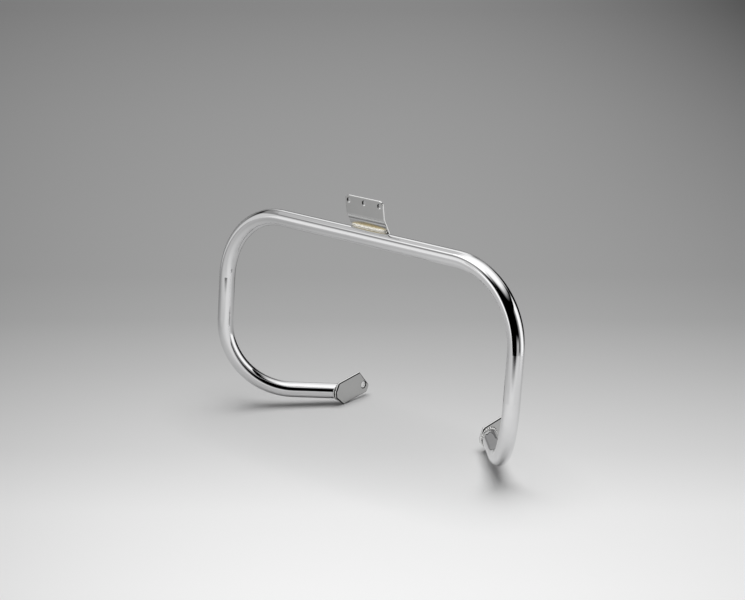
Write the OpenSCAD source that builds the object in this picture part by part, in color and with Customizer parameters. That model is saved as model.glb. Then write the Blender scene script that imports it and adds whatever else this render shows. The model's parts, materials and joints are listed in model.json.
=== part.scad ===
// Front crash bar for a motorcycle: one bent tube, two bolt tabs and a top bracket, welded
// and chromed. +Z is up, +Y is to the rear and X is across, with the lowest corners of both
// tabs level. The origin is the centre of the bracket's middle hole.

/* [Tube] */
// Outside diameter of the tube
tube_d = 31.75; // [28:0.25:38]
// Wall of the tube
tube_wall = 2.4; // [1.6:0.1:3.5]
// Distance between the centre lines of the two uprights
hoop_w = 721; // [660:1:800]
// Distance from the top run's centre line down to the legs' centre line
hoop_h = 377; // [330:1:430]
// Centre line radius of all four bends
bend_r = 144; // [110:1:155]
// Turn of each leg from straight across towards the rear, in degrees
leg_turn = 46; // [35:0.5:52]
// Lean of the hoop back from the bracket's face, in degrees
hoop_lean = 11.7; // [0:0.1:20]
// Rise of the tabs to the rear as the bar stands, in degrees
stand_pitch = 6.35; // [0:0.05:12]
// Diameter of the drain hole in each leg
drain_d = 5; // [3:0.5:8]
// Distance of the drain hole from the tab, along the leg
drain_back = 45; // [35:1:55]

/* [Tabs] */
// Clear distance between the two tabs
tab_gap = 368; // [330:1:390]
// Thickness of a tab
tab_t = 6; // [4:0.5:10]
// Reach of a tab ahead of the leg's centre
tab_nose = 24; // [23:0.5:30]
// Reach of a tab behind the leg's centre
tab_tail = 76.5; // [70:0.5:90]
// Height of a tab above the leg's centre
tab_up = 23.5; // [21:0.5:30]
// Depth of a tab below the leg's centre
tab_down = 27; // [24:0.5:34]
// Diameter of the bolt hole in a tab
tab_hole_d = 13; // [8:0.5:14]
// Distance of the bolt hole behind the leg's centre
tab_hole_back = 59.5; // [50:0.5:62]
// Distance of the bolt hole below the leg's centre
tab_hole_drop = 7.5; // [4:0.5:11]

/* [Bracket] */
// Width of the bracket
bracket_w = 92; // [84:1:120]
// Thickness of the bracket
bracket_t = 4.5; // [3:0.5:8]
// Height of the bracket's top edge above the tube's centre
bracket_top = 77.5; // [72:0.5:95]
// Height of the bracket's bend above the tube's centre
bracket_bend_h = 42; // [36:0.5:46]
// Angle between the bracket's foot and its face, in degrees
bracket_flare = 21.5; // [12:0.5:28]
// Centre line radius of the bracket's bend
bracket_bend_r = 14; // [8:0.5:20]
// Reach of the bracket's foot below its line of contact with the tube
bracket_lap = 7; // [5:0.5:10]
// Radius of the bracket's top corners
bracket_corner_r = 9; // [3:0.5:12]
// Diameter of each hole in the bracket
bracket_hole_d = 9; // [6:0.5:11]
// Distance between neighbouring holes in the bracket
bracket_hole_pitch = 37.5; // [25:0.5:38]
// Distance of the holes below the bracket's top edge
bracket_hole_drop = 10.2; // [8:0.1:16]

/* [Welds] */
// Leg length of the weld round each tab joint
tab_weld = 4.5; // [3:0.5:6]
// Radius of the weld beads along the bracket's foot
bracket_weld_r = 4; // [3:0.5:5]
// Distance from each end of the bracket to its weld beads
bracket_weld_inset = 3; // [1:0.5:10]

/* [Hidden] */
$fn = 96;
tube_r = tube_d / 2;
bore_r = tube_r - tube_wall;
// Slack past a face that a cut goes through
past = 1;
// How far one stretch of the bracket runs into the next, so that they are one piece
join = 0.01;
// How far an upright runs into its lower bend, and how much the bend's radius is drawn down there
bend_lap = 0.5;
bend_slip = 0.1;
// Gap between a faceted weld and the round tube under it
weld_gap = 0.05;
// Outer face of a tab, where the leg ends
tab_out = tab_gap / 2 + tab_t;
// Where a leg's centre line meets its tab: back from the hoop's plane, then as [rearward, up]
leg_end_v = (hoop_w / 2 - tab_out) * tan(leg_turn);
leg_end_y = leg_end_v * cos(hoop_lean);
leg_end_z = -leg_end_v * sin(hoop_lean);
// Straight part of a leg, with enough to pass right through the tab's face
leg_run = (hoop_w / 2 - tab_out) / cos(leg_turn) - bend_r;
leg_spare = tube_d * tan(leg_turn);
// Centre of the top run, seen from the side
top_y = hoop_h * sin(hoop_lean);
top_z = hoop_h * cos(hoop_lean);
// Middle plane of the bracket's face, and the height of its holes, from the top run's centre
face_y = (tube_r + bracket_t / 2 - bracket_bend_h * sin(bracket_flare)) / cos(bracket_flare);
hole_z = bracket_top - bracket_hole_drop;
bend_tangent = bracket_bend_r * tan(bracket_flare / 2);
foot_up = bracket_bend_h * cos(bracket_flare) - face_y * sin(bracket_flare) - bend_tangent;
// Height of the front bead's centre above the foot's line of contact
bead_bite = 0.8;
bead_up = sqrt(pow(tube_r + bead_bite * bracket_weld_r, 2) - pow(tube_r, 2));
bead_len = bracket_w - 2 * bracket_weld_inset - 2 * bracket_weld_r;
// Outline of a tab from the leg's centre: [rearward, up], and the round on each corner. The
// front has a short upright edge between two bevels, and the rear is cut back above and below.
tab_front_low = -5;
tab_front_high = 7;
tab_brow = 12;
tab_toe = -5;
tab_slope = [24.5, 38.5];
tab_heel = 9.5;
tab_outline = [[-tab_nose, tab_front_low], [-tab_nose, tab_front_high],
               [-tab_nose + tab_brow, tab_up], [tab_tail - tab_slope[0], tab_up],
               [tab_tail, tab_up - tab_slope[1]], [tab_tail - tab_heel, -tab_down],
               [tab_toe, -tab_down]];
tab_rounds = [4, 4, 4, 3, 7, 6, 3];
arc_steps = 6;
weld_steps = 72;
weld_face_steps = 4;
weld_crown = 0.16;
weld_ripples = 36;
weld_ripple = 0.05;

// Points of the round that replaces corner b between neighbours a and c
function corner_arc(a, b, c, r) =
    let (u = (a - b) / norm(a - b),
         v = (c - b) / norm(c - b),
         half = acos(u * v) / 2,
         middle = b + (u + v) / norm(u + v) * r / sin(half),
         start = b + u * r / tan(half) - middle,
         stop = b + v * r / tan(half) - middle,
         from = atan2(start[1], start[0]),
         turn = atan2(stop[1], stop[0]) - from,
         sweep = turn > 180 ? turn - 360 : turn < -180 ? turn + 360 : turn)
    [for (k = [0 : arc_steps])
        middle + r * [cos(from + sweep * k / arc_steps), sin(from + sweep * k / arc_steps)]];

function rounded(points, rounds) =
    let (n = len(points))
    [for (i = [0 : n - 1])
        each corner_arc(points[(i + n - 1) % n], points[i], points[(i + 1) % n], rounds[i])];

// From the hoop's own plane, upright along Z, to the frame that the bar stands in
module standing() {
    rotate([stand_pitch, 0, 0])
        translate([0, -top_y - face_y, -top_z - hole_z])
            children();
}

module hoop_plane() {
    standing() rotate([-hoop_lean, 0, 0]) children();
}

// The bracket's parts are placed from the centre of the top run
module top_run() {
    standing() translate([0, top_y, top_z]) children();
}

module quarter_bend(r) {
    rotate_extrude(angle = 90) translate([bend_r, 0]) circle(r);
}

// From the foot of an upright, round the lower bend and along the leg, as a rod of radius r
module lower_bend_and_leg(r) {
    translate([-bend_r, 0, bend_r]) rotate([-90, 0, 0]) quarter_bend(r);
    translate([-bend_r, 0, 0]) rotate([0, -90, 0]) cylinder(h = leg_run + leg_spare, r = r);
}

// One half of the bent rod of radius r, from the middle of the top run to past its tab
module half_rod(r) {
    top_half = hoop_w / 2 - bend_r;
    translate([0, 0, hoop_h]) rotate([0, 90, 0]) cylinder(h = top_half, r = r);
    translate([top_half, 0, hoop_h - bend_r]) rotate([90, 0, 0]) quarter_bend(r);
    translate([hoop_w / 2, 0, bend_r - bend_lap])
        cylinder(h = hoop_h - 2 * bend_r + bend_lap, r = r);
    translate([hoop_w / 2, 0, 0]) rotate([0, 0, -leg_turn]) lower_bend_and_leg(r - bend_slip);
}

module bent_rod(r) {
    half_rod(r);
    mirror([1, 0, 0]) half_rod(r);
}

module drain_hole() {
    translate([hoop_w / 2, 0, 0]) rotate([0, 0, -leg_turn])
        translate([-bend_r - leg_run + drain_back, 0, -tube_r - past])
            cylinder(h = tube_r + past, r = drain_d / 2);
}

module hoop_tube() {
    color("silver") hoop_plane() difference() {
        bent_rod(tube_r);
        bent_rod(bore_r);
        translate([-tab_out, leg_end_v - 2 * tube_d, -tube_d])
            cube([2 * tab_out, 4 * tube_d, 2 * tube_d]);
        drain_hole();
        mirror([1, 0, 0]) drain_hole();
    }
}

// A block with the tab's outline, from x = from to x = to
module tab_block(from, to) {
    standing() translate([from, leg_end_y, leg_end_z]) rotate([90, 0, 90])
        linear_extrude(to - from) polygon(rounded(tab_outline, tab_rounds));
}

module tab() {
    difference() {
        tab_block(tab_gap / 2, tab_out);
        standing() translate([tab_gap / 2 - past, leg_end_y + tab_hole_back,
                              leg_end_z - tab_hole_drop])
            rotate([0, 90, 0]) cylinder(h = tab_t + 2 * past, r = tab_hole_d / 2);
    }
}

module right_tab() {
    color("silver") tab();
}

module left_tab() {
    color("silver") mirror([1, 0, 0]) tab();
}

// Cross-section of the tab's weld at angle a round the leg: the corner between tube and tab,
// the toe on the tube, the crowned face and the toe on the tab
function weld_ring(a) =
    let (r = tube_r + weld_gap,
         leg = tab_weld * (1 + weld_ripple * cos(weld_ripples * a)),
         corner = [0, r * cos(a) / cos(leg_turn), r * sin(a)],
         along = [cos(leg_turn), -sin(leg_turn), 0],
         out = [0, cos(a) * cos(leg_turn), sin(a)],
         on_tube = corner + leg * along,
         on_tab = corner + leg * out / norm(out),
         crown = (on_tube + on_tab) / 2 - corner)
    concat([corner],
           [for (k = [0 : weld_face_steps])
               let (s = k / weld_face_steps)
               on_tube * (1 - s) + on_tab * s + crown / norm(crown) * tab_weld * weld_crown
                   * 4 * s * (1 - s)]);

module weld_ring_solid() {
    m = weld_face_steps + 2;
    points = [for (i = [0 : weld_steps - 1]) each weld_ring(360 * i / weld_steps)];
    faces = [for (i = [0 : weld_steps - 1], j = [0 : m - 1])
        let (next = (i + 1) % weld_steps, up = (j + 1) % m)
        [i * m + j, next * m + j, next * m + up, i * m + up]];
    polyhedron(points, faces, convexity = 4);
}

module tab_weld_bead() {
    intersection() {
        hoop_plane() translate([tab_out, leg_end_v, 0]) weld_ring_solid();
        tab_block(tab_out, tab_out + tube_d);
    }
}

module right_tab_weld() {
    color("silver") tab_weld_bead();
}

module left_tab_weld() {
    color("silver") mirror([1, 0, 0]) tab_weld_bead();
}

module bracket_foot() {
    rotate([bracket_flare, 0, 0]) translate([-bracket_w / 2, tube_r, -bracket_lap])
        cube([bracket_w, bracket_t, bracket_lap + foot_up + join]);
}

module bracket_bend() {
    translate([-bracket_w / 2, face_y + bracket_bend_r, bracket_bend_h + bend_tangent])
        rotate([0, 90, 0]) rotate([0, 0, -90]) rotate_extrude(angle = bracket_flare)
            translate([bracket_bend_r - bracket_t / 2, 0]) square([bracket_t, bracket_w]);
}

module bracket_face() {
    low = bracket_bend_h + bend_tangent;
    difference() {
        translate([-bracket_w / 2, face_y - bracket_t / 2, low])
            cube([bracket_w, bracket_t, bracket_top - low]);
        for (x = [-1, 0, 1])
            translate([x * bracket_hole_pitch, face_y, hole_z]) rotate([90, 0, 0])
                cylinder(h = bracket_t + 2 * past, r = bracket_hole_d / 2, center = true);
        bracket_corner_cut();
        mirror([1, 0, 0]) bracket_corner_cut();
    }
}

module bracket_corner_cut() {
    translate([bracket_w / 2 - bracket_corner_r, face_y, bracket_top - bracket_corner_r])
        rotate([90, 0, 0]) difference() {
            translate([0, 0, -bracket_t]) cube([bracket_corner_r + past, bracket_corner_r + past,
                                                2 * bracket_t]);
            cylinder(h = 3 * bracket_t, r = bracket_corner_r, center = true);
        }
}

module top_bracket() {
    color("silver") top_run() {
        bracket_foot();
        bracket_bend();
        bracket_face();
    }
}

// A bead along the bracket's foot at [out from the tube's centre, up the foot]
module foot_bead(out, up) {
    top_run() difference() {
        rotate([bracket_flare, 0, 0]) translate([-bead_len / 2, out, up]) rotate([0, 90, 0]) {
            cylinder(h = bead_len, r = bracket_weld_r);
            sphere(bracket_weld_r);
            translate([0, 0, bead_len]) sphere(bracket_weld_r);
        }
        rotate([0, 90, 0]) cylinder(h = 2 * bracket_w, r = tube_r, center = true);
        bracket_foot();
    }
}

module bracket_front_weld() {
    color("silver") foot_bead(tube_r, bead_up);
}

module bracket_rear_weld() {
    color("silver") foot_bead(tube_r + bracket_t / 4, -bracket_lap);
}

hoop_tube();
left_tab();
right_tab();
top_bracket();
left_tab_weld();
right_tab_weld();
bracket_front_weld();
bracket_rear_weld();
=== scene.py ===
"""Looks for a chromed motorcycle crash bar: plated plates, weld beads and a pale studio, made round its
packed frame."""
import json
import math

import bmesh
import bpy
import numpy as np
from bpy.props import FloatProperty, FloatVectorProperty, IntProperty, PointerProperty
from bpy.types import Operator, Panel, PropertyGroup
from mathutils import Euler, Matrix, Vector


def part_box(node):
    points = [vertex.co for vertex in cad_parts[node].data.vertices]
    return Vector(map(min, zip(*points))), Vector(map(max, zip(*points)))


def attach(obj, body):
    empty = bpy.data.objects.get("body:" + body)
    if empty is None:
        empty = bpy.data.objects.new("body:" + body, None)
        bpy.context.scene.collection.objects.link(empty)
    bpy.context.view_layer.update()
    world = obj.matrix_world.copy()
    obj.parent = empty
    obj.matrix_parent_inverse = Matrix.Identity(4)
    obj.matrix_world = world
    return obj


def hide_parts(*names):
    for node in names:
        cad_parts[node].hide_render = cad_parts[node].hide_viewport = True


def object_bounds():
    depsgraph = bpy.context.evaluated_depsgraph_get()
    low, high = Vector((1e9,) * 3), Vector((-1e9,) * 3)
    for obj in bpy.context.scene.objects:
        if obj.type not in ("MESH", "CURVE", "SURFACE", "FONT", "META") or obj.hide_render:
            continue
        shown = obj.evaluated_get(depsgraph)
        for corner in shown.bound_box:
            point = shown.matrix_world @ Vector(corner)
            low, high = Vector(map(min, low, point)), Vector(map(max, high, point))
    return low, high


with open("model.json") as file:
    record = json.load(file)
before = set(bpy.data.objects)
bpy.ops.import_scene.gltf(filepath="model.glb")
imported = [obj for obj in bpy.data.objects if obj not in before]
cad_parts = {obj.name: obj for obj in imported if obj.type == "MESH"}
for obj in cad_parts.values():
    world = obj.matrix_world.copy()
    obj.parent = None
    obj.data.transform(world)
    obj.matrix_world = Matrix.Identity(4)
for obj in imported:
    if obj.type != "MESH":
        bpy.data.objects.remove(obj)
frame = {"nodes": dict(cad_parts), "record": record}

bl_info = {
    "name": "Crash bar looks",
    "version": (1, 0, 0),
    "blender": (4, 5, 0),
    "location": "3D View > Sidebar > Crash bar",
    "description": "Chrome finish, weld beads and studio for a motorcycle crash bar",
    "category": "Object",
}

# The straw tint on the bracket: half its length, its rise above the bead in the middle, and its soft edge
STRAW_HALF = 0.044
STRAW_RISE = 0.0080
STRAW_FADE = 0.0008
# The bracket's bolt holes and their rounds reach this far up and down from the origin, and this far out
HOLE_CLEAR = 0.007
HOLE_REACH = 0.0435
BODY = "root"
MM = 0.001
# Corners of a plate nearer than this are one corner, so that no short edge upsets its rounds
MERGE = 0.00003
# Below the first angle two facets are one flat face, and above the second their edge is rounded
FLAT_ANGLE = math.radians(0.5)
ROUND_ANGLE = math.radians(35.0)
# Scales of the plating's marks, per metre: dull clouds, level hairlines and buffing waves
CLOUD_SCALE = 34.0
HAIR_SCALE = 420.0
HAIR_STRETCH = (1.0, 1.0, 14.0)
BUFFING_SCALE = 95.0
# Height of the waves in metres on the tube, the plates, the welds and the front bead, and the finer scale of
# the last two
TUBE_WAVES = 0.000008
PLATE_WAVES = 0.00001
WELD_WAVES, WELD_SCALE = 0.0009, 260.0
BEAD_WAVES, BEAD_SCALE = 0.0002, 300.0
# Sections of a bead along and round it, and of a tab's ring round the leg and across its face
BEAD_GRID = (160, 28)
RING_GRID = (288, 9)
# A bead's closed ends, as a share of its radius, and how far its ripples lean along it
BEAD_TIP = 0.02
RIPPLE_LEAN = 0.0525
# Height of the overhead light above the floor
LAMP_HEIGHT = 2.0
CAD_LOW, CAD_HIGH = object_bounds()


def box_of(node):
    """Lowest and highest corner of a CAD node, as numpy rows."""
    low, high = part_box(node)
    return np.array(low), np.array(high)


# The bracket's bolt holes point along its face's normal, so they give the tilt that the bar stands at
BORE_AXIS = next(m["axis"] for m in frame["record"]["mounts"] if m["name"] == "bracket_bore_centre")
STAND_PITCH = math.atan2(-BORE_AXIS[2], -BORE_AXIS[1])


def length(name, text, default):
    """A size in metres, with its default given in millimetres."""
    return FloatProperty(name=name, description=text, default=default * MM, min=0.0, unit="LENGTH")


def turn(name, text, default):
    """An angle, with its default given in degrees."""
    return FloatProperty(name=name, description=text, default=math.radians(default), subtype="ANGLE")


def share(name, text, default):
    """A share from 0 to 1."""
    return FloatProperty(name=name, description=text, default=default, min=0.0, max=1.0, subtype="FACTOR")


def colour(name, text, default):
    """A linear colour."""
    return FloatVectorProperty(name=name, description=text, default=default, size=3, min=0.0, max=1.0,
                               subtype="COLOR")


class TubeSizes(PropertyGroup):
    """The bent tube, as far as the welds and the finish need it."""
    across: length("Diameter", "Outside diameter of the tube", 31.75)
    hoop_h: length("Height", "From the legs' centre line up to the top run's", 377.0)
    hoop_w: length("Width", "Between the two uprights' centre lines", 721.0)
    lean: turn("Lean", "Lean of the hoop back from the bracket's face", 11.7)
    leg_turn: turn("Leg turn", "Turn of each leg from straight across towards the rear", 46.0)
    tab_gap: length("Tab gap", "Clear distance between the two tabs", 368.0)
    tab_t: length("Tab thickness", "Thickness of a tab", 6.0)


class PlateSizes(PropertyGroup):
    """Edges of the two tabs and the bracket."""
    edge: length("Edge round", "Round that polishing leaves on the plates' edges", 1.1)
    tab_edge: length("Tab edge round", "Round on the tabs' edges", 2.3)
    edge_steps: IntProperty(name="Edge steps", description="Segments across each rounded edge", default=3,
                            min=1, max=6)
    flare: turn("Bracket bend", "Angle between the bracket's foot and its face", 21.5)
    bracket_w: length("Bracket width", "Width of the bracket", 92.0)
    bracket_t: length("Bracket thickness", "Thickness of the bracket", 4.5)
    bracket_top: length("Bracket top", "Bracket's top edge above the tube's centre", 77.5)
    bend_h: length("Bend height", "Bracket's bend above the tube's centre", 42.0)
    hole_drop: length("Hole drop", "Bracket's holes below its top edge", 10.2)
    lap: length("Foot lap", "Reach of the foot below its line of contact with the tube", 7.0)


class WeldSizes(PropertyGroup):
    """The four weld beads."""
    bead: length("Bead radius", "Radius of the beads along the bracket's foot", 4.0)
    inset: length("Inset", "From each end of the bracket to its beads", 3.0)
    bite: share("Bite", "How far the front bead stands off the tube, as a share of its radius", 0.8)
    ripple: length("Ripple pitch", "Distance between the ripples of the bracket's beads", 2.6)
    ripple_depth: share("Ripple depth", "Depth of those ripples, as a share of the radius", 0.12)
    leg: length("Tab weld", "Leg length of the weld round each tab joint", 4.5)
    crown: share("Tab weld crown", "Crown of the tab welds, as a share of their leg", 0.16)
    scallop: length("Scallop pitch", "Distance between the scallops of the tab welds", 4.2)
    scallop_depth: share("Scallop depth", "Depth of the scallops, as a share of the leg", 0.3)


class ChromeLook(PropertyGroup):
    """Colours and polish of the plating."""
    tube: colour("Tube chrome", "Reflected colour of the polished tube", (0.74, 0.74, 0.745))
    plate: colour("Plate chrome", "Reflected colour of the tabs and the bracket", (0.56, 0.56, 0.555))
    weld: colour("Weld chrome", "Reflected colour over the weld beads", (0.76, 0.76, 0.75))
    straw: colour("Straw tint", "Warm tint of thin plating beside the bracket's front bead",
                  (0.66, 0.59, 0.42))
    # Painted highlight: the plates' rounded edges get a brighter colour than their faces
    edge: colour("Edge chrome", "Reflected colour of the plates' rounded edges", (0.90, 0.90, 0.895))
    # Painted shade: a dark line on the tabs' edges and on one side of the bracket's hole rims
    painted_edge_shade: colour("Edge line", "Dark line along the plates' edges", (0.02, 0.02, 0.02))
    # Warm tint of the front bead, and painted highlight: it is brighter than the other welds to stand in for
    # the light it catches
    cream: colour("Cream tint", "Warm tint on the front bead itself", (1.0, 0.97, 0.88))
    polish: share("Polish", "Roughness of the buffed tube", 0.018)
    plate_polish: share("Plate polish", "Roughness of the tabs and the bracket", 0.10)
    weld_polish: share("Weld polish", "Roughness over the weld beads", 0.06)
    cream_polish: share("Cream polish", "Roughness of the front bead", 0.20)


class StudioLook(PropertyGroup):
    """Camera, floor and light."""
    lens: FloatProperty(name="Lens", description="Focal length on a 36 mm sensor", default=85.5,
                        min=10.0, unit="CAMERA")
    camera_at: FloatVectorProperty(name="Camera", description="Where the camera stands", size=3,
                                   default=(2.0979, -2.3881, 0.8169), subtype="TRANSLATION", unit="LENGTH")
    camera_yaw: turn("Yaw", "Turn of the camera from looking along +Y", 41.04)
    camera_dip: turn("Dip", "How far the camera looks below the horizon", 17.55)
    floor_size: FloatProperty(name="Floor", description="Side of the floor", default=60.0, min=4.0,
                              unit="LENGTH")
    lamp_spread: turn("Light spread", "Angle that the overhead light fills, which softens shadows", 52.0)
    lamp_power: FloatProperty(name="Light power", description="Strength of the overhead light",
                              default=2.5, min=0.0)


LOOK_GROUPS = (("bar_tube", TubeSizes), ("bar_plates", PlateSizes), ("bar_welds", WeldSizes),
               ("bar_chrome", ChromeLook), ("bar_studio", StudioLook))


# Materials

class Nodes:
    """A short way to write a node tree: each call adds one node and returns its first output."""

    def __init__(self, tree):
        self.tree = tree
        tree.nodes.clear()

    def add(self, kind, **values):
        node = self.tree.nodes.new(kind)
        for key, value in values.items():
            setattr(node, key, value)
        return node

    def feed(self, node, **inputs):
        for key, value in inputs.items():
            socket = node.inputs[int(key[1:])] if key[0] == "i" and key[1:].isdigit() else node.inputs[key]
            if isinstance(value, bpy.types.NodeSocket):
                self.tree.links.new(value, socket)
            else:
                socket.default_value = value
        return node.outputs[0] if node.outputs else None

    def maths(self, operation, a, b=0.0, c=0.0):
        return self.feed(self.add("ShaderNodeMath", operation=operation), i0=a, i1=b, i2=c)

    def remap(self, value, low, high, to_low=0.0, to_high=1.0, smooth=False):
        kind = "SMOOTHSTEP" if smooth else "LINEAR"
        node = self.add("ShaderNodeMapRange", interpolation_type=kind, clamp=True)
        return self.feed(node, i0=value, i1=low, i2=high, i3=to_low, i4=to_high)

    def mix(self, factor, a, b):
        node = self.add("ShaderNodeMix", data_type="RGBA")
        self.feed(node, i0=factor, i6=a, i7=b)
        return node.outputs[2]

    def noise(self, vector, scale, detail=3.0, rough=0.5):
        node = self.add("ShaderNodeTexNoise")
        return self.feed(node, Vector=vector, Scale=scale, Detail=detail, Roughness=rough)

    def bump(self, height, distance, strength=1.0):
        node = self.add("ShaderNodeBump")
        return self.feed(node, Height=height, Distance=distance, Strength=strength)


def new_material(name):
    """A material with an empty node tree, and the short way to fill it."""
    material = bpy.data.materials.new(name)
    material.use_nodes = True
    return material, Nodes(material.node_tree)


def rgba(values):
    """A linear colour with full alpha."""
    return (values[0], values[1], values[2], 1.0)


def stretched(nodes, scale):
    """Object coordinates drawn out by a scale for each axis."""
    place = nodes.add("ShaderNodeTexCoord").outputs["Object"]
    return nodes.feed(nodes.add("ShaderNodeMapping"), Vector=place, Scale=scale)


def chrome(name, reflected, polish, waves, paint=None, wave_scale=BUFFING_SCALE):
    """Bright plating: faint buffing waves in the bump, hairlines and dulled patches in the roughness, and a
    very slight cloudiness in the colour. waves is the buffing waves' height in metres. paint takes the
    nodes and the colour and gives the colour back with more on it."""
    material, n = new_material(name)
    even = stretched(n, (1.0, 1.0, 1.0))
    cloud = n.noise(even, CLOUD_SCALE, 4.0, 0.6)
    hair = n.noise(stretched(n, HAIR_STRETCH), HAIR_SCALE, 2.0, 0.6)
    tint = n.mix(n.remap(cloud, 0.35, 0.7), rgba([c * 0.965 for c in reflected]), rgba(reflected))
    if paint:
        tint = paint(n, tint)
    dull = n.maths("ADD", n.remap(cloud, 0.3, 0.75, polish * 0.6, polish * 1.3),
                   n.remap(hair, 0.6, 0.85, 0.0, polish * 1.2))
    wave = n.noise(even, wave_scale, 2.0, 0.4)
    shader = n.add("ShaderNodeBsdfPrincipled")
    out = n.feed(shader, Metallic=1.0, Roughness=dull, Normal=n.bump(wave, waves, 1.0))
    n.tree.links.new(tint, shader.inputs["Base Color"])
    n.feed(n.add("ShaderNodeOutputMaterial"), Surface=out)
    return material


def tube_chrome(look):
    """The bent tube's mirror finish."""
    return chrome("tube_chrome", look.tube, look.polish, TUBE_WAVES)


def weld_chrome(look, name="weld_chrome"):
    """Plating over the rough metal of a weld."""
    return chrome(name, look.weld, look.weld_polish, WELD_WAVES, wave_scale=WELD_SCALE)


def cream_weld(look):
    """The front bead: a pale, duller coat with a warm tint, its colour brighter than the other welds' as
    painted highlight.
    """
    return chrome("front_weld_chrome", look.cream, look.cream_polish, BEAD_WAVES, wave_scale=BEAD_SCALE)


def normal_part(n, axis):
    """How far a surface faces along an axis of the object, from -1 to 1."""
    split = n.add("ShaderNodeSeparateXYZ")
    n.feed(split, Vector=n.add("ShaderNodeTexCoord").outputs["Normal"])
    return split.outputs[axis]


def normal_share(n, axis):
    """How far a surface faces along an axis of the object either way, from 0 to 1."""
    return n.maths("ABSOLUTE", normal_part(n, axis))


def tab_chrome(look):
    """Plate chrome with a painted highlight on its rounded edges, and a painted shade, a dark line, where
    the round of an edge runs into the face.
    """
    def edges(n, base):
        facing = normal_share(n, 0)
        # Painted highlight: the rounded edges get a brighter colour by which way they face
        painted_light = n.mix(n.remap(facing, 0.35, 0.15), base, rgba(look.edge))
        # Painted shade: a dark line where an edge's round runs into the face
        line = n.maths("MULTIPLY", n.remap(facing, 0.3, 0.4), n.remap(facing, 0.997, 0.98))
        return n.mix(line, painted_light, rgba(look.painted_edge_shade))
    return chrome("tab_chrome", look.plate, look.plate_polish, PLATE_WAVES, edges)


def bracket_chrome(look, toe_height):
    """Plate chrome with a painted highlight on its top edge, hole rims with painted shade on one side and a
    painted highlight on the other, and a straw-coloured strip just above the front bead, where the plating
    is thin: widest in the middle and drawn in to its ends."""
    def marks(n, base):
        place = n.add("ShaderNodeTexCoord").outputs["Object"]
        split = n.add("ShaderNodeSeparateXYZ")
        n.feed(split, Vector=place)
        above_holes = n.remap(split.outputs[2], HOLE_CLEAR, HOLE_CLEAR + MM)
        # Painted highlight on the top edge, by which way it faces
        bright = n.maths("MULTIPLY", n.remap(normal_share(n, 2), 0.55, 0.85), above_holes)
        painted_light = n.mix(bright, base, rgba(look.edge))
        rise = n.maths("ABSOLUTE", split.outputs[2])
        reach = n.maths("ABSOLUTE", split.outputs[0])
        by_hole = n.maths("MULTIPLY", n.remap(rise, HOLE_CLEAR, HOLE_CLEAR - MM),
                          n.remap(reach, HOLE_REACH + MM, HOLE_REACH))
        # Painted shade on one side of each hole's rim and a painted highlight on the other, by which way the
        # rim faces
        to_light = n.maths("SUBTRACT", normal_part(n, 2), normal_part(n, 0))
        painted_rim_shade = n.maths("MULTIPLY", by_hole, n.remap(to_light, -0.25, -0.5))
        painted_rim_highlight = n.maths("MULTIPLY", by_hole, n.remap(to_light, 0.25, 0.5))
        painted_light = n.mix(painted_rim_shade, n.mix(painted_rim_highlight, painted_light, rgba(look.edge)), rgba(look.painted_edge_shade))
        side = n.maths("DIVIDE", split.outputs[0], STRAW_HALF)
        arch = n.maths("SUBTRACT", 1.0, n.maths("MULTIPLY", side, side))
        top = n.maths("MULTIPLY_ADD", arch, STRAW_RISE, toe_height)
        ragged = n.maths("MULTIPLY_ADD", n.noise(place, 160.0), 0.002, -0.001)
        over = n.maths("SUBTRACT", n.maths("ADD", split.outputs[2], ragged), top)
        amount = n.remap(over, -STRAW_FADE, STRAW_FADE, 1.0, 0.0, smooth=True)
        in_front = n.remap(normal_part(n, 1), -0.3, -0.6)
        inside = n.maths("MULTIPLY", n.remap(arch, 0.0, 0.2), in_front)
        return n.mix(n.maths("MULTIPLY", amount, inside), painted_light, rgba(look.straw))

    return chrome("bracket_chrome", look.plate, look.plate_polish, PLATE_WAVES, marks)


# Meshes

def mesh_piece(name, points, faces):
    """A mesh object at the origin, from an array of points and a list of faces."""
    mesh = bpy.data.meshes.new(name)
    mesh.from_pydata(points.reshape(-1, 3).tolist(), [], faces)
    mesh.update()
    piece = bpy.data.objects.new(name, mesh)
    bpy.context.scene.collection.objects.link(piece)
    return piece


def grid_faces(rows, columns, round_rows, round_columns):
    """Quads of a grid of rows by columns, closed round either way."""
    i = np.arange(rows if round_rows else rows - 1)[:, None]
    j = np.arange(columns if round_columns else columns - 1)[None, :]
    down, across = (i + 1) % rows, (j + 1) % columns
    corners = (i * columns + j, i * columns + across, down * columns + across, down * columns + j)
    return np.stack(np.broadcast_arrays(*corners), axis=-1).reshape(-1, 4)


def smooth(piece):
    """Smooth shading on every face."""
    mesh = piece.data
    mesh.polygons.foreach_set("use_smooth", np.ones(len(mesh.polygons), bool))
    return piece


def finish_piece(piece, material, slot, *nodes):
    """Gives a piece its material, and lets it ride and stand for its CAD nodes. Its slot argument is not
    used.
    """
    piece.data.materials.clear()
    piece.data.materials.append(material)
    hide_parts(*nodes)
    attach(piece, BODY)
    return piece


def turned(points, about_x):
    """Points turned about X, with Y towards Z."""
    c, s = math.cos(about_x), math.sin(about_x)
    x, y, z = points[..., 0], points[..., 1], points[..., 2]
    return np.stack([x, c * y - s * z, s * y + c * z], axis=-1)


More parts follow.
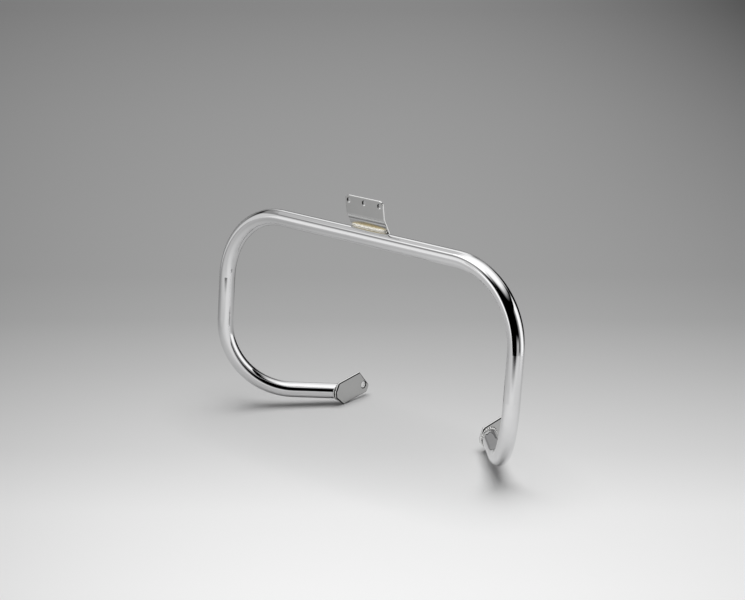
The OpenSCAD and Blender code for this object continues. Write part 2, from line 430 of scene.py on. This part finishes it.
class Place:
    """Puts points of the hoop's plane or of the top run's frame into the part's frame, whose origin is the
    middle bracket hole."""

    def __init__(self, tube, plates):
        self.lean = tube.lean
        self.flare = plates.flare
        self.top = np.array([0.0, tube.hoop_h * math.sin(tube.lean), tube.hoop_h * math.cos(tube.lean)])
        middle = tube.across / 2 + plates.bracket_t / 2
        face_y = (middle - plates.bend_h * math.sin(self.flare)) / math.cos(self.flare)
        self.origin = self.top + np.array([0.0, face_y, plates.bracket_top - plates.hole_drop])

    def standing(self, points):
        """Points of the upright bar, tilted as it stands."""
        return turned(points - self.origin, STAND_PITCH)

    def hoop(self, points):
        """Points in the plane of the hoop, which leans back."""
        return self.standing(turned(points, -self.lean))

    def top_run(self, points):
        """Points round the centre line of the top run."""
        return self.standing(points + self.top)

    def foot(self, points):
        """Points round the top run, turned with the bracket's foot."""
        return self.top_run(turned(points, self.flare))


def plate_with_round_edges(name, node, edge, steps):
    """A copy of a plate's solid with its corners merged, its flat faces made whole and its edges
    rounded."""
    mesh = frame["nodes"][node].data.copy()
    mesh.name = name
    work = bmesh.new()
    work.from_mesh(mesh)
    bmesh.ops.remove_doubles(work, verts=work.verts, dist=MERGE)
    bmesh.ops.dissolve_limit(work, angle_limit=FLAT_ANGLE, verts=work.verts, edges=work.edges)
    work.to_mesh(mesh)
    work.free()
    piece = bpy.data.objects.new(name, mesh)
    bpy.context.scene.collection.objects.link(piece)
    smooth(piece)
    bevel = piece.modifiers.new("edges", "BEVEL")
    bevel.width = edge
    bevel.segments = steps
    bevel.limit_method = "ANGLE"
    bevel.angle_limit = ROUND_ANGLE
    bevel.use_clamp_overlap = False
    bevel.loop_slide = False
    weight = piece.modifiers.new("flat faces", "WEIGHTED_NORMAL")
    weight.mode = "FACE_AREA"
    weight.weight = 100
    weight.keep_sharp = True
    return piece


def scalloped(along, pitch, depth):
    """1 less a shallow dip that repeats along a bead: 1 at the middle of each pitch, and less by the depth
    at its two ends, by the 1.5th power of the distance from the middle."""
    phase = np.mod(along / pitch, 1.0)
    return 1.0 - depth * np.power(np.abs(2.0 * phase - 1.0), 1.5)


def foot_bead(name, place, radius, half_length, out, up, sizes):
    """A bead along the bracket's foot: a circle of rippled radius carried along X, drawn in to a round end
    over its last radius. The circles lie closer together towards the ends, by a sine."""
    rows, columns = BEAD_GRID
    u = np.linspace(-1.0, 1.0, rows)
    x = half_length * np.sin(u * math.pi / 2)
    into_end = np.clip((np.abs(x) - (half_length - radius)) / radius, 0.0, 1.0)
    taper = np.sqrt(np.clip(1.0 - into_end ** 2, 0.0, 1.0))
    size = radius * taper * scalloped(x + half_length, sizes.ripple, sizes.ripple_depth)
    size = np.maximum(size, radius * BEAD_TIP)
    angle = np.linspace(0.0, 2.0 * math.pi, columns, endpoint=False)
    lag = RIPPLE_LEAN * radius * taper[:, None] * np.cos(angle)[None, :]
    points = np.stack([x[:, None] + lag,
                       out + size[:, None] * np.cos(angle)[None, :],
                       up + size[:, None] * np.sin(angle)[None, :]], axis=-1)
    faces = grid_faces(rows, columns, False, True)
    tip = radius * BEAD_TIP
    ends = np.array([[x[0] - tip, out, up], [x[-1] + tip, out, up]])
    points = place.foot(np.vstack([points.reshape(-1, 3), ends]))
    first, last, tail = rows * columns, rows * columns + 1, (rows - 1) * columns
    j = np.arange(columns)
    k = (j + 1) % columns
    near_fan = np.stack([np.full(columns, first), k, j], axis=-1)
    far_fan = np.stack([np.full(columns, last), tail + j, tail + k], axis=-1)
    return smooth(mesh_piece(name, points, faces.tolist() + near_fan.tolist() + far_fan.tolist()))


def tab_weld_ring(name, place, tube, sizes, side):
    """The fillet weld round a leg at its tab. At each angle round the leg its section runs from the corner
    along the tube to one toe, over a crowned face and down to the toe on the tab. The crown is a parabola
    across the face."""
    steps, face_steps = RING_GRID
    r = tube.across / 2
    a = np.linspace(0.0, 2.0 * math.pi, steps, endpoint=False)
    ripple = scalloped(a * r, sizes.scallop, sizes.scallop_depth)
    leg = sizes.leg * ripple
    corner = np.stack([np.zeros(steps), r * np.cos(a) / math.cos(tube.leg_turn), r * np.sin(a)], axis=-1)
    along = np.array([math.cos(tube.leg_turn), -math.sin(tube.leg_turn), 0.0])
    out = np.stack([np.zeros(steps), np.cos(a) * math.cos(tube.leg_turn), np.sin(a)], axis=-1)
    out /= np.linalg.norm(out, axis=1)[:, None]
    on_tube = corner + leg[:, None] * along
    on_tab = corner + leg[:, None] * out
    crown = (on_tube + on_tab) / 2 - corner
    crown /= np.linalg.norm(crown, axis=1)[:, None]
    s = np.linspace(0.0, 1.0, face_steps)[None, :, None]
    bulge = (sizes.crown * leg)[:, None, None] * 4.0 * s * (1.0 - s)
    face = on_tube[:, None, :] * (1.0 - s) + on_tab[:, None, :] * s + crown[:, None, :] * bulge
    points = np.concatenate([corner[:, None, :], face], axis=1)
    leg_end_back = (tube.hoop_w / 2 - tube.tab_gap / 2 - tube.tab_t) * math.tan(tube.leg_turn)
    points = points + np.array([tube.tab_gap / 2 + tube.tab_t, leg_end_back, 0.0])
    points = place.hoop(points)
    faces = grid_faces(steps, face_steps + 1, True, True)
    if side < 0:
        points[..., 0] *= -1.0
        faces = faces[:, ::-1]
    piece = mesh_piece(name, points, faces.tolist())
    fix_outward(piece)
    return smooth(piece)


def fix_outward(piece):
    """Turns every face of a closed piece outwards."""
    work = bmesh.new()
    work.from_mesh(piece.data)
    bmesh.ops.recalc_face_normals(work, faces=work.faces)
    work.to_mesh(piece.data)
    work.free()


# Operators

class BAR_OT_tube(Operator):
    """Give the bent tube its mirror chrome"""
    bl_idname = "bar.tube"
    bl_label = "Bent tube"

    def execute(self, context):
        node = frame["nodes"]["hoop_tube"]
        node.data.materials.clear()
        node.data.materials.append(tube_chrome(context.scene.bar_chrome))
        return {"FINISHED"}


class BAR_OT_tabs(Operator):
    """Make the two bolt tabs with rounded, plated edges"""
    bl_idname = "bar.tabs"
    bl_label = "Bolt tabs"

    def execute(self, context):
        scene = context.scene
        plates = scene.bar_plates
        material = tab_chrome(scene.bar_chrome)
        for side in ("left", "right"):
            piece = plate_with_round_edges(side + "_tab_plate", side + "_tab", plates.tab_edge,
                                           plates.edge_steps)
            finish_piece(piece, material, "plate_chrome", side + "_tab")
        return {"FINISHED"}


class BAR_OT_bracket(Operator):
    """Make the top bracket with rounded edges and the straw tint beside its weld"""
    bl_idname = "bar.bracket"
    bl_label = "Top bracket"

    def execute(self, context):
        scene = context.scene
        toe = box_of("bracket_front_weld")[1][2]
        plates = scene.bar_plates
        piece = plate_with_round_edges("top_bracket_plate", "top_bracket", plates.edge, plates.edge_steps)
        finish_piece(piece, bracket_chrome(scene.bar_chrome, toe), "plate_chrome", "top_bracket")
        return {"FINISHED"}


class BAR_OT_bracket_welds(Operator):
    """Make the two rippled beads along the bracket's foot"""
    bl_idname = "bar.bracket_welds"
    bl_label = "Bracket welds"

    def execute(self, context):
        scene = context.scene
        tube, plates, welds, look = (scene.bar_tube, scene.bar_plates, scene.bar_welds, scene.bar_chrome)
        place = Place(tube, plates)
        r = tube.across / 2
        half = plates.bracket_w / 2 - welds.inset
        front_up = math.sqrt((r + welds.bite * welds.bead) ** 2 - r ** 2)
        front = foot_bead("front_weld_bead", place, welds.bead, half, r, front_up, welds)
        finish_piece(front, cream_weld(look), "weld_chrome", "bracket_front_weld")
        rear = foot_bead("rear_weld_bead", place, welds.bead, half, r + plates.bracket_t / 4,
                         -plates.lap, welds)
        finish_piece(rear, weld_chrome(look), "weld_chrome", "bracket_rear_weld")
        return {"FINISHED"}


class BAR_OT_tab_welds(Operator):
    """Make the scalloped weld ring round each leg at its tab"""
    bl_idname = "bar.tab_welds"
    bl_label = "Tab welds"

    def execute(self, context):
        scene = context.scene
        place = Place(scene.bar_tube, scene.bar_plates)
        material = weld_chrome(scene.bar_chrome, "tab_weld_chrome")
        for side, sign in (("left", -1), ("right", 1)):
            ring = tab_weld_ring(side + "_weld_ring", place, scene.bar_tube, scene.bar_welds, sign)
            finish_piece(ring, material, "weld_chrome", side + "_tab_weld")
        return {"FINISHED"}


class BAR_OT_stage(Operator):
    """Set the floor, the overhead light, the studio round it and the camera"""
    bl_idname = "bar.stage"
    bl_label = "Studio"

    def execute(self, context):
        look = context.scene.bar_studio
        make_floor(look)
        make_lamp(look)
        make_world(context.scene)
        make_camera(look)
        context.scene.view_settings.view_transform = "Standard"
        return {"FINISHED"}


def make_floor(look):
    """A flat pale floor under the bar's lowest point."""
    half = look.floor_size / 2
    level = CAD_LOW[2]
    corners = np.array([[-half, -half, level], [half, -half, level], [half, half, level],
                        [-half, half, level]])
    floor = mesh_piece("floor", corners, [(0, 1, 2, 3)])
    floor.data.materials.append(floor_material(look))


# Painted light on the floor: its grey by distance away from the camera, in metres from the bar, brightest in
# front and darker behind
FLOOR_GREYS = ((-0.61, 0.90), (-0.30, 0.84), (-0.02, 0.68), (0.44, 0.51), (0.79, 0.40), (1.15, 0.355),
               (3.1, 0.315), (5.8, 0.245))
# Painted shade: the paper's grey falls to its sides as a share of the square of the way out to the picture's
# edge there, and on the right by more the further back it lies
DARKER_LEFT = 0.17
DARKER_RIGHT = 0.08
DARKER_RIGHT_BACK = 0.085
# Half the picture's width on the floor in metres: at the bar, and its growth per metre behind it
HALF_WIDTH = 0.72
HALF_WIDTH_GROWTH = 0.2
# The falloff stops growing this many half widths out
FALLOFF_END = 1.2
# In front of the picture the paper is even again: from the second of these distances to the first
EVEN_FRONT, FALLOFF_FRONT = -1.8, -0.8
# How far the lit paper reaches to the photo's right, towards the camera and away from it, as the plating
# sees it, and how far either side of that it fades
PAPER_RIGHT, RIGHT_FADE = 1.25, 0.40
PAPER_FRONT, FRONT_FADE = 1.50, 0.30
PAPER_BACK, BACK_FADE = 0.95, 0.25


def along(n, place, way):
    """Distance of a place along a direction."""
    dot = n.add("ShaderNodeVectorMath", operation="DOT_PRODUCT")
    n.feed(dot, i0=place, i1=way)
    return dot.outputs["Value"]


def floor_material(look):
    """Pale paper with painted light: a grey that falls with the distance away, less a painted shade that is
    a share of the square of the way out to each side. For the plating alone the paper ends and clears past
    its lit part."""
    material, n = new_material("paper_floor")
    place = n.add("ShaderNodeTexCoord").outputs["Object"]
    yaw = look.camera_yaw
    away = along(n, place, (-math.sin(yaw), math.cos(yaw), 0.0))
    right = along(n, place, (math.cos(yaw), math.sin(yaw), 0.0))
    low, high = FLOOR_GREYS[0][0], FLOOR_GREYS[-1][0]
    ramp = n.add("ShaderNodeValToRGB")
    stops = ramp.color_ramp.elements
    while len(stops) < len(FLOOR_GREYS):
        stops.new(0.5)
    for stop, (far, grey) in zip(stops, FLOOR_GREYS):
        stop.position = (far - low) / (high - low)
        stop.color = (grey, grey, grey, 1.0)
    # Painted light: the grey falls with the distance away
    n.feed(ramp, Fac=n.remap(away, low, high))
    width = n.maths("MAXIMUM", n.maths("MULTIPLY_ADD", away, HALF_WIDTH_GROWTH, HALF_WIDTH), HALF_WIDTH / 2)
    out = n.maths("DIVIDE", right, width)
    out_left = n.remap(out, 0.0, -FALLOFF_END, 0.0, FALLOFF_END)
    out_right = n.remap(out, 0.0, FALLOFF_END, 0.0, FALLOFF_END)
    # Painted shade towards the paper's sides
    drop_right = n.maths("MULTIPLY_ADD", n.maths("MAXIMUM", away, 0.0), DARKER_RIGHT_BACK, DARKER_RIGHT)
    drop = n.maths("ADD", n.maths("MULTIPLY", n.maths("MULTIPLY", out_left, out_left), DARKER_LEFT),
                   n.maths("MULTIPLY", n.maths("MULTIPLY", out_right, out_right), drop_right))
    seen_drop = n.maths("MULTIPLY", drop, n.remap(away, EVEN_FRONT, FALLOFF_FRONT))
    bright = n.maths("MULTIPLY", ramp.outputs["Color"], n.maths("SUBTRACT", 1.0, seen_drop))
    shade = n.add("ShaderNodeCombineColor")
    paper = n.feed(n.add("ShaderNodeBsdfDiffuse"), Color=n.feed(shade, i0=bright, i1=bright, i2=bright))
    past_right = n.remap(right, PAPER_RIGHT - RIGHT_FADE, PAPER_RIGHT + RIGHT_FADE, smooth=True)
    past_front = n.remap(away, -PAPER_FRONT - FRONT_FADE, -PAPER_FRONT + FRONT_FADE, 1.0, 0.0, smooth=True)
    past_back = n.remap(away, PAPER_BACK - BACK_FADE, PAPER_BACK + BACK_FADE, smooth=True)
    past = n.maths("MAXIMUM", past_right, n.maths("MAXIMUM", past_front, past_back))
    off_paper = n.maths("MULTIPLY", past, n.add("ShaderNodeLightPath").outputs["Is Glossy Ray"])
    clear = n.feed(n.add("ShaderNodeBsdfTransparent"), Color=(1.0, 1.0, 1.0, 1.0))
    seen = n.feed(n.add("ShaderNodeMixShader"), i0=off_paper, i1=paper, i2=clear)
    n.feed(n.add("ShaderNodeOutputMaterial"), Surface=seen)
    return material


def make_lamp(look):
    """A wide soft light from straight above, even over the whole floor."""
    lamp = bpy.data.lights.new("overhead_light", "SUN")
    lamp.energy = look.lamp_power
    lamp.angle = look.lamp_spread
    thing = bpy.data.objects.new("overhead_light", lamp)
    thing.location = (0.0, 0.0, CAD_LOW[2] + LAMP_HEIGHT)
    thing.visible_camera = False
    thing.visible_glossy = False
    bpy.context.scene.collection.objects.link(thing)


# What the plating sees of the studio: left edge, right edge, low edge, high edge, blur of the sides, blur of
# the low and high edges, and brightness. Angles are in degrees: round from the camera's own side to the
# photo's right, and up from the horizon
STUDIO_PANELS = {
    "overhead": (-400.0, 400.0, 56.0, 120.0, 1.0, 24.0, 1.35),
    "overhead_left": (-110.0, -42.0, 42.0, 120.0, 24.0, 16.0, 1.80),
    "overhead_right": (72.0, 190.0, 50.0, 120.0, 26.0, 14.0, 1.10),
    "overhead_rear": (-180.0, -106.0, 40.0, 72.0, 10.0, 26.0, 0.72),
    "over_backdrop_left": (-200.0, -162.0, 22.0, 68.0, 20.0, 10.0, 1.20),
    "over_backdrop_right": (168.0, 200.0, 24.0, 70.0, 12.0, 8.0, 1.00),
    "backdrop_left": (-200.0, -158.0, -1.0, 24.0, 8.0, 6.0, 0.34),
    "backdrop_right": (156.0, 200.0, -1.0, 24.0, 8.0, 6.0, 0.34),
    "left_wall": (-160.0, -58.0, 30.0, 45.0, 20.0, 6.0, 0.34),
    "left_far": (-160.0, -112.0, -40.0, 18.0, 8.0, 20.0, 0.34),
    "left_panel": (-122.0, -60.0, -40.0, 30.0, 16.0, 8.0, 0.78),
    "left_panel_middle": (-88.0, -72.0, -40.0, 23.0, 4.0, 4.0, 1.05),
    "left_panel_edge": (-72.0, -57.0, -40.0, 16.0, 12.0, 10.0, 1.45),
    "low_window": (6.0, 34.0, -40.0, 3.0, 8.0, 12.0, 0.55),
    "right_panel_edge": (46.0, 116.0, -40.0, 33.0, 18.0, 6.0, 0.40),
    "right_panel": (61.0, 105.0, -40.0, 34.0, 18.0, 2.0, 1.30),
    "right_wall": (112.0, 182.0, 38.0, 60.0, 12.0, 20.0, 0.80),
}
# Grey behind the floor as the camera sees it, and soft light from all round on what isn't plated
BACKDROP_GREY = 0.24
FILL = 0.20


def make_world(scene):
    """Pale grey behind the floor for the camera, and for the plating a dark studio with its lit panels."""
    world = bpy.data.worlds.new("studio")
    world.use_nodes = True
    n = Nodes(world.node_tree)
    way = n.add("ShaderNodeTexCoord").outputs["Generated"]
    split = n.add("ShaderNodeSeparateXYZ")
    facing_back = n.add("ShaderNodeVectorRotate", rotation_type="Z_AXIS")
    n.feed(split, Vector=n.feed(facing_back, Vector=way, Angle=-scene.bar_studio.camera_yaw))
    to_right, to_back, rise = split.outputs[0], split.outputs[1], split.outputs[2]
    degrees = math.degrees(1.0)
    around = n.maths("MULTIPLY", n.maths("ARCTAN2", to_right, n.maths("MULTIPLY", to_back, -1.0)), degrees)
    height = n.maths("MULTIPLY", n.maths("ARCSINE", rise), degrees)
    total = None
    for left, right, low, high, side_blur, rise_blur, bright in STUDIO_PANELS.values():
        edges = (n.remap(around, left - side_blur / 2, left + side_blur / 2, smooth=True),
                 n.remap(around, right - side_blur / 2, right + side_blur / 2, 1.0, 0.0, smooth=True),
                 n.remap(height, low - rise_blur / 2, low + rise_blur / 2, smooth=True),
                 n.remap(height, high - rise_blur / 2, high + rise_blur / 2, 1.0, 0.0, smooth=True))
        inside = n.maths("MULTIPLY", n.maths("MULTIPLY", edges[0], edges[1]),
                         n.maths("MULTIPLY", edges[2], edges[3]))
        lit = n.maths("MULTIPLY", inside, bright)
        total = lit if total is None else n.maths("MAXIMUM", total, lit)
    path = n.add("ShaderNodeLightPath")
    grey = n.feed(n.add("ShaderNodeBackground"), Color=(1.0, 1.0, 1.0, 1.0), Strength=BACKDROP_GREY)
    fill = n.feed(n.add("ShaderNodeBackground"), Color=(1.0, 1.0, 1.0, 1.0), Strength=FILL)
    mirrored = n.feed(n.add("ShaderNodeBackground"), Color=(1.0, 1.0, 1.0, 1.0), Strength=total)
    soft = n.feed(n.add("ShaderNodeMixShader"), i0=path.outputs["Is Camera Ray"], i1=fill, i2=grey)
    both = n.feed(n.add("ShaderNodeMixShader"), i0=path.outputs["Is Glossy Ray"], i1=soft, i2=mirrored)
    n.feed(n.add("ShaderNodeOutputWorld"), Surface=both)
    scene.world = world


def make_camera(look):
    """The photo's own view: it looks along its yaw and dips below the horizon."""
    camera = bpy.data.cameras.new("camera")
    camera.lens = look.lens
    camera.sensor_width = 36.0
    camera.clip_end = 100.0
    thing = bpy.data.objects.new("camera", camera)
    thing.location = look.camera_at
    thing.rotation_euler = Euler((math.pi / 2 - look.camera_dip, 0.0, look.camera_yaw))
    bpy.context.scene.collection.objects.link(thing)
    bpy.context.scene.camera = thing


class BAR_PT_panel(Panel):
    """Sidebar panel with the bar's pieces and its sizes"""
    bl_idname = "BAR_PT_panel"
    bl_label = "Crash bar"
    bl_space_type = "VIEW_3D"
    bl_region_type = "UI"
    bl_category = "Crash bar"

    def draw(self, context):
        for operator in OPERATORS:
            self.layout.operator(operator.bl_idname)
        for name, group in LOOK_GROUPS:
            box = self.layout.box()
            box.label(text=group.__doc__)
            for key in group.__annotations__:
                box.prop(getattr(context.scene, name), key)


OPERATORS = (BAR_OT_tube, BAR_OT_tabs, BAR_OT_bracket, BAR_OT_bracket_welds, BAR_OT_tab_welds,
             BAR_OT_stage)
CLASSES = tuple(group for _, group in LOOK_GROUPS) + OPERATORS + (BAR_PT_panel,)


def register():
    for each in CLASSES:
        bpy.utils.register_class(each)
    for name, group in LOOK_GROUPS:
        setattr(bpy.types.Scene, name, PointerProperty(type=group))


def unregister():
    for name, _ in LOOK_GROUPS:
        delattr(bpy.types.Scene, name)
    for each in reversed(CLASSES):
        bpy.utils.unregister_class(each)


def main():
    register()
    for operator in OPERATORS:
        family, name = operator.bl_idname.split(".")
        getattr(getattr(bpy.ops, family), name)()
    bpy.context.view_layer.update()


if __name__ == "__main__":
    main()
